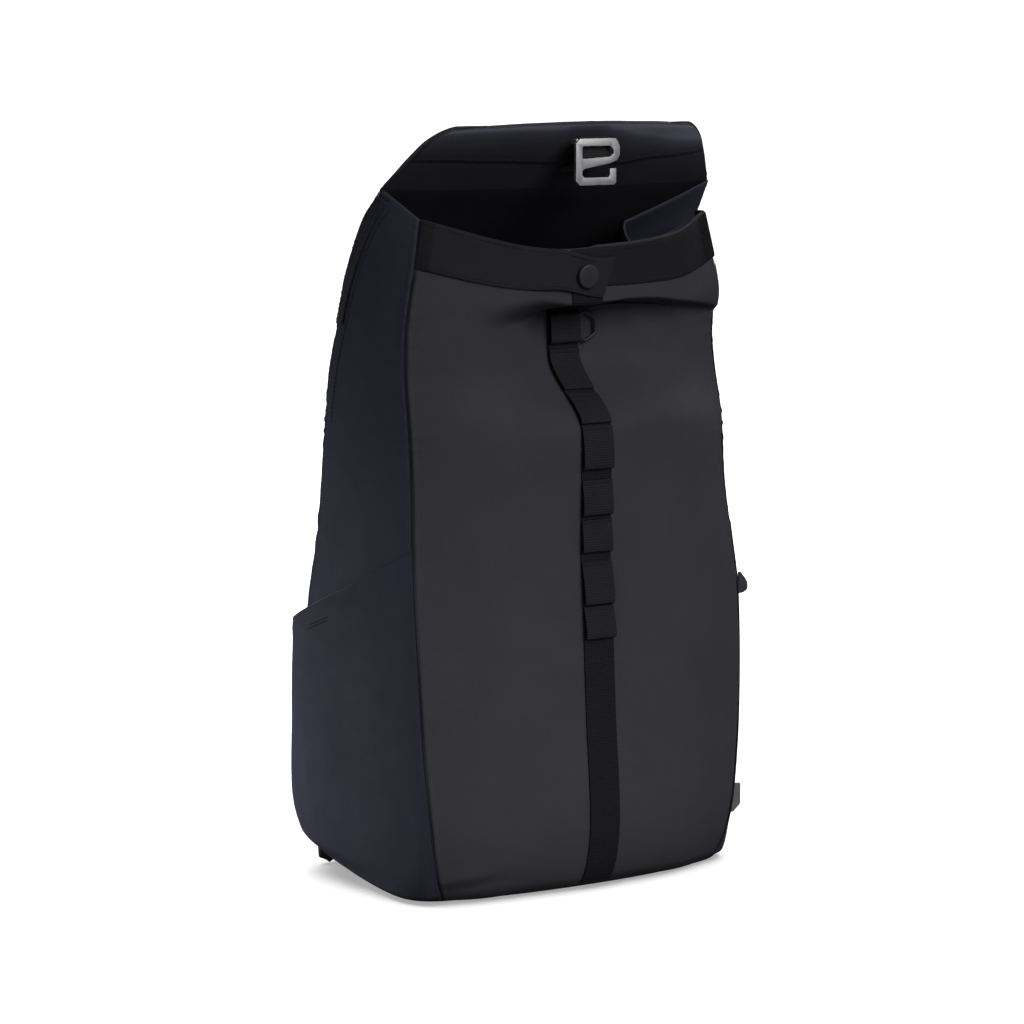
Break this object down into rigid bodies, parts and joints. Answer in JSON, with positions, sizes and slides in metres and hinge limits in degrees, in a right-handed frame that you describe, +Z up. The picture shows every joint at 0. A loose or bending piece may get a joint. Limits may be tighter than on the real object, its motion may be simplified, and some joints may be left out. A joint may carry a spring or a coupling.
{
  "type": "flap backpack",
  "caption": "Upright cloth backpack with a hooded flap and metal hook, a banded snap mouth, a looped front strap, side pockets and padded shoulder straps.",
  "frame": {"origin": "on the floor at the middle of the base", "axes": "+Z up, -Y the front with the looped strap, +X to the right of someone who faces the front"},
  "size_m": [0.3337, 0.2066, 0.5425],
  "materials": {
    "charcoal_cloth": "coated plain weave, matte",
    "navy_cloth": "coated plain weave, matte",
    "black_cloth": "plain weave, matte",
    "black_webbing": "ribbed webbing, matte",
    "black_plastic": "satin moulded plastic",
    "grey_cloth": "woven tape, matte",
    "hook_metal": "brushed, satin"
  },
  "bodies": {
    "bag": {"front_panel": "charcoal_cloth", "flap": "charcoal_cloth", "flap_hem": "charcoal_cloth", "side_panel_left": "navy_cloth", "side_panel_right": "navy_cloth", "side_pocket_left": "navy_cloth", "side_pocket_right": "navy_cloth", "back_panel": "black_cloth", "base_panel": "black_cloth", "back_pad": "black_cloth", "shoulder_strap_left": "black_cloth", "shoulder_strap_right": "black_cloth", "flap_piping_left": "black_cloth", "flap_piping_right": "black_cloth", "side_tape_left": "black_cloth", "hook_loop": "black_webbing", "mouth_band_left": "black_webbing", "mouth_band_right": "black_webbing", "front_strap": "black_webbing", "strap_loop_1": "black_webbing", "strap_loop_2": "black_webbing", "strap_loop_3": "black_webbing", "strap_loop_4": "black_webbing", "strap_loop_5": "black_webbing", "strap_loop_6": "black_webbing", "strap_loop_7": "black_webbing", "strap_top_tab": "black_webbing", "seam_tab_right": "black_webbing", "strap_webbing_left": "black_webbing", "strap_webbing_right": "black_webbing", "haul_handle": "black_webbing", "snap_button": "black_plastic", "hex_ring": "black_plastic", "ladder_lock_left": "black_plastic", "ladder_lock_right": "black_plastic", "hem_tab_right": "grey_cloth"},
    "hook": {"flap_hook": "hook_metal"}
  },
  "joints": [
    {"name": "hook_swing", "type": "hinge", "parent": "bag", "child": "hook", "pos_m": [0, -0.0886, 0.529], "axis": [-1, 0, 0], "range_deg": [-8, 150]}
  ]
}
